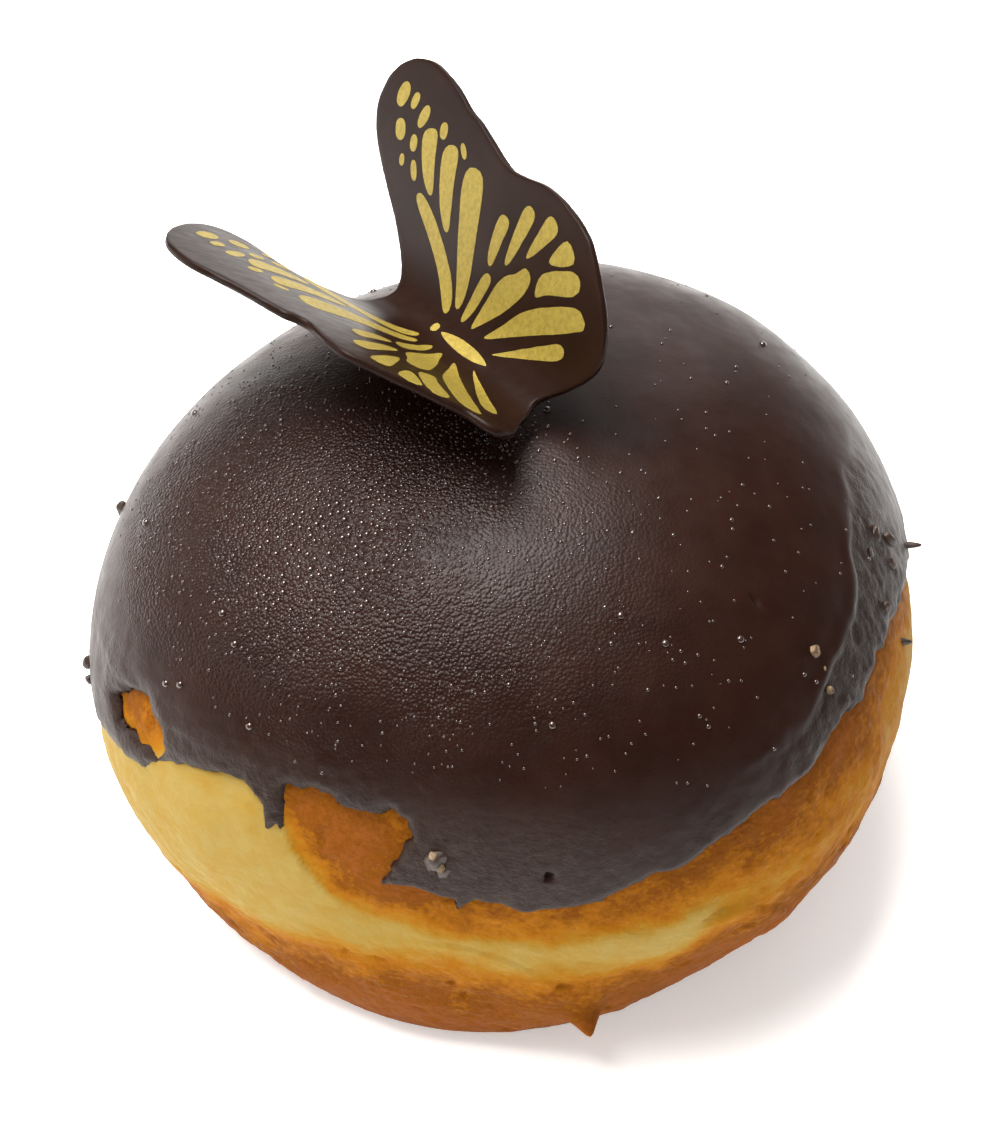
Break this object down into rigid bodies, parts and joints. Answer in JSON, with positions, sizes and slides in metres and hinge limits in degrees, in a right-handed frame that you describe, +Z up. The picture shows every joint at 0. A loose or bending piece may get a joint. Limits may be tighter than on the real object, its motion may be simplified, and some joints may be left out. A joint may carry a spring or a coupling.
{
  "type": "doughnut",
  "caption": "Round doughnut without a hole, iced with dark chocolate and topped by a folded chocolate butterfly with gold wing markings.",
  "frame": {"origin": "middle of the flat underside that the doughnut rests on", "axes": "+Z up through the dome, +X right and +Y away as seen from the front; the butterfly's head points to -X +Y"},
  "size_m": [0.0845, 0.0786, 0.077],
  "materials": {
    "dough": "fried dough: golden brown crust with a pale soft ring round the waist",
    "chocolate_icing": "set dark chocolate icing, satin gloss with fine droplets of condensation",
    "butterfly": "tempered dark chocolate sheet, satin"
  },
  "bodies": {
    "root": {"dough": "dough", "chocolate_icing": "chocolate_icing", "butterfly": "butterfly"}
  },
  "joints": []
}
